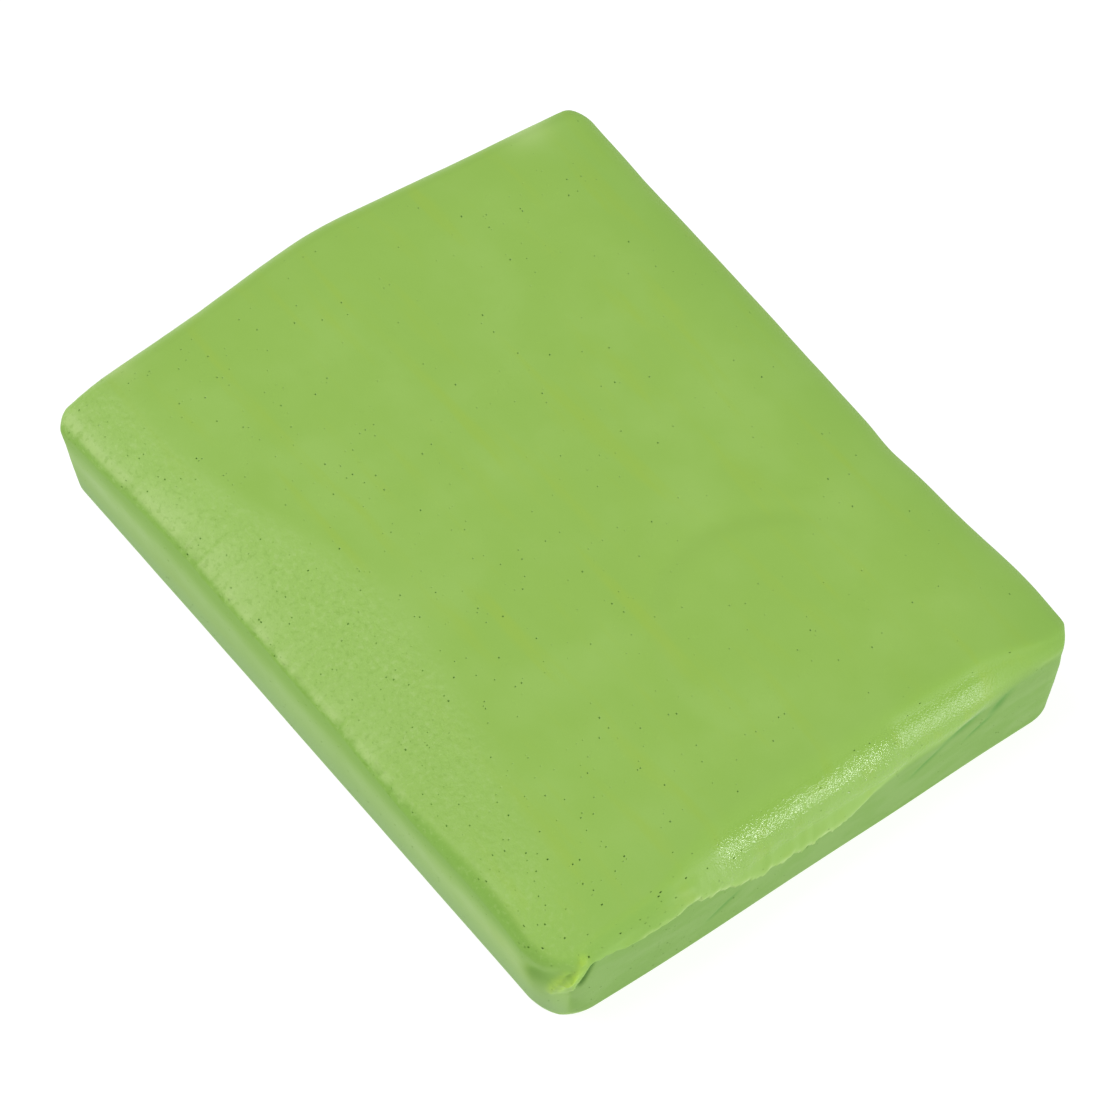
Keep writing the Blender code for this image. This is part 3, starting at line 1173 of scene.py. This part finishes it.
def floor_material():
    """A plain floor that glows a little, so that it stays white up to the bar's shadow."""
    material = bpy.data.materials.new("floor")
    material.use_nodes = True
    shader = material.node_tree.nodes["Principled BSDF"]
    shader.inputs["Base Color"].default_value = FLOOR_COLOUR
    shader.inputs["Roughness"].default_value = FLOOR_ROUGHNESS
    shader.inputs["Emission Color"].default_value = WHITE
    shader.inputs["Emission Strength"].default_value = FLOOR_GLOW
    return material


# ---------------------------------------------------------------------------------------------
# Floor, lights and camera
# ---------------------------------------------------------------------------------------------

# The floor's size in metres, and the hair's breadth in millimetres that keeps it off the underside.
FLOOR_SIZE = 6.0
FLOOR_GAP = 0.05

# Lights as azimuth and elevation in degrees, distance and width in metres, and power in watts. The
# sky adds an even white light.
LIGHTS = {
    "key": (-40.0, 66.0, 1.4, 0.9, 10.6),
    "streak": (114.0, 12.0, 1.2, 0.17, 5.0),
}
SKY_STRENGTH = 0.455

# The camera: lens and sensor in millimetres, angles in degrees, distances in metres.
LENS = 250.0
SENSOR = 36.0
CAMERA_AZIMUTH = 48.3
CAMERA_ELEVATION = 55.35
CAMERA_ROLL = 4.9
CAMERA_DISTANCE = 0.7545
CAMERA_TARGET = Vector((1.68 * MM, -0.36 * MM, THICKNESS / 2 * MM))
CAMERA_CLIP = 0.01


def direction(azimuth, elevation):
    """Unit vector from the bar towards a place. Azimuth 0 is -Y and 90 is +X."""
    around, up = math.radians(azimuth), math.radians(elevation)
    return Vector((math.sin(around) * math.cos(up), -math.cos(around) * math.cos(up), math.sin(up)))


def add_floor():
    bpy.ops.mesh.primitive_plane_add(size=FLOOR_SIZE, location=(0.0, 0.0, -FLOOR_GAP * MM))
    floor = bpy.context.object
    floor.name = "floor"
    floor.data.materials.append(floor_material())


def add_light(name, azimuth, elevation, distance, size, power):
    light = bpy.data.lights.new(name, "AREA")
    light.shape = "DISK"
    light.size = size
    light.energy = power
    lamp = bpy.data.objects.new(name, light)
    away = direction(azimuth, elevation)
    lamp.location = away * distance
    lamp.rotation_euler = away.to_track_quat("Z", "Y").to_euler()
    lamp.visible_camera = False
    bpy.context.scene.collection.objects.link(lamp)


def add_sky():
    world = bpy.data.worlds.new("studio")
    world.use_nodes = True
    background = world.node_tree.nodes["Background"]
    background.inputs["Color"].default_value = WHITE
    background.inputs["Strength"].default_value = SKY_STRENGTH
    bpy.context.scene.world = world


def add_camera():
    data = bpy.data.cameras.new("camera")
    data.lens = LENS
    data.sensor_width = SENSOR
    data.clip_start = CAMERA_CLIP
    around = math.radians(CAMERA_AZIMUTH)
    back = direction(CAMERA_AZIMUTH, CAMERA_ELEVATION)
    level = Vector((math.cos(around), math.sin(around), 0.0))
    right = Matrix.Rotation(math.radians(CAMERA_ROLL), 3, back) @ level
    up = back.cross(right)
    camera = bpy.data.objects.new("camera", data)
    place = CAMERA_TARGET + back * CAMERA_DISTANCE
    camera.matrix_world = Matrix.Translation(place) @ Matrix((right, up, back)).transposed().to_4x4()
    bpy.context.scene.collection.objects.link(camera)
    bpy.context.scene.camera = camera


def main():
    piece = make_clay_bar()
    piece.data.materials.append(clay_material())
    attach(piece, "root")
    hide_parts(NODE)
    add_floor()
    add_sky()
    for name, settings in LIGHTS.items():
        add_light(name, *settings)
    add_camera()
    bpy.context.scene.view_settings.view_transform = "Standard"


main()
